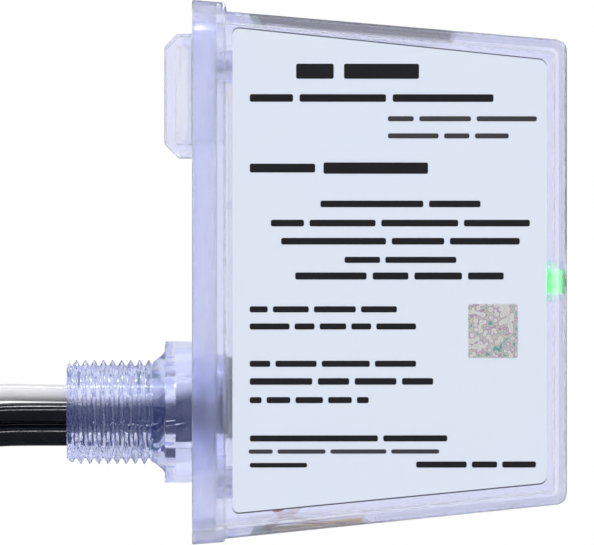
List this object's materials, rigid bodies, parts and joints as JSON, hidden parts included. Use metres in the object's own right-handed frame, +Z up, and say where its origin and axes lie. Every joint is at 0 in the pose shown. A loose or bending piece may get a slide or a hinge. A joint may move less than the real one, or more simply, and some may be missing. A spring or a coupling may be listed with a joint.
{
  "type": "whole house surge protector",
  "caption": "Clear drafted plastic box with a threaded clear nipple and hexagon on its back, an indicator lamp at the front, a side label, and black and white leads that end in a tied coil.",
  "frame": {"origin": "on the nipple's axis, in the plane where the fitting's hexagon and the standoff pad meet the panel's face", "axes": "+X from the panel to the front of the box, +Z up the long side of the box, +Y across its width"},
  "size_m": [0.1536, 0.076, 0.1831],
  "materials": {
    "clear_cover": "clear moulded plastic with a faint lavender tint, polished",
    "clear_base": "clear moulded plastic, polished",
    "clear_nipple": "clear moulded plastic with a moulded thread",
    "seal": "translucent bonding bead",
    "label_film": "pale blue-white printed film",
    "foil": "patterned iridescent foil",
    "board": "green lacquered glass-fibre board",
    "screw_steel": "zinc-plated",
    "block_plastic": "moulded dark grey plastic",
    "clamp_brass": "nickel-plated brass",
    "capacitor_case": "moulded yellow box",
    "resistor_body": "lacquered ceramic",
    "diode_body": "moulded black epoxy",
    "led_lens": "lit green diffused lens",
    "sleeve": "shrunk sleeve",
    "wire_red": "thin insulated wire",
    "wire_black": "thin insulated wire",
    "lead_white": "glossy nylon-jacketed wire",
    "lead_black": "glossy nylon-jacketed wire",
    "tie_nylon": "natural nylon",
    "copper": "bare stranded copper",
    "module_case": "moulded black plastic",
    "module_lid": "moulded dark grey plastic",
    "varistor_coat": "blue epoxy-coated ceramic",
    "contact_brass": "plain strip",
    "solder": "soft solder",
    "shield_plastic": "orange moulded plastic",
    "spring_steel": "music wire"
  },
  "bodies": {
    "housing": {"cover": "clear_cover", "base": "clear_base", "hex_nipple": "clear_nipple", "rim_seal": "seal", "side_label": "label_film", "foil_sticker": "foil", "circuit_board": "board", "board_screws": "screw_steel", "terminal_block": "block_plastic", "terminal_screws": "clamp_brass", "film_capacitor_left": "capacitor_case", "film_capacitor_right": "capacitor_case", "resistors": "resistor_body", "diode": "diode_body", "indicator_led": "led_lens", "led_sleeves": "sleeve", "led_wire_red": "wire_red", "led_wire_black": "wire_black", "inner_lead_white": "lead_white", "inner_lead_black_a": "lead_black", "inner_lead_black_b": "lead_black", "inner_tie": "tie_nylon", "lead_white": "lead_white", "lead_black_a": "lead_black", "lead_black_b": "lead_black", "stripped_ends": "copper", "lead_coil": "lead_black", "coil_tie": "tie_nylon", "case_a": "module_case", "lid_a": "module_lid", "varistor_a": "varistor_coat", "contact_arm_a": "contact_brass", "solder_bead_a": "solder", "spring_a": "spring_steel", "case_b": "module_case", "lid_b": "module_lid", "varistor_b": "varistor_coat", "contact_arm_b": "contact_brass", "solder_bead_b": "solder", "spring_b": "spring_steel", "case_c": "module_case", "lid_c": "module_lid", "varistor_c": "varistor_coat", "contact_arm_c": "contact_brass", "solder_bead_c": "solder", "spring_c": "spring_steel"},
    "shield_a": {"arc_shield_a": "shield_plastic"},
    "shield_b": {"arc_shield_b": "shield_plastic"},
    "shield_c": {"arc_shield_c": "shield_plastic"}
  },
  "joints": [
    {"name": "shield_slide_a", "type": "slide", "parent": "housing", "child": "shield_a", "axis": [0, 0, 1], "range_m": [0, 0.008], "deforming": ["spring_a", "solder_bead_a"]},
    {"name": "shield_slide_b", "type": "slide", "parent": "housing", "child": "shield_b", "axis": [0, 0, 1], "range_m": [0, 0.008], "deforming": ["spring_b", "solder_bead_b"]},
    {"name": "shield_slide_c", "type": "slide", "parent": "housing", "child": "shield_c", "axis": [0, 0, 1], "range_m": [0, 0.008], "deforming": ["spring_c", "solder_bead_c"]}
  ]
}
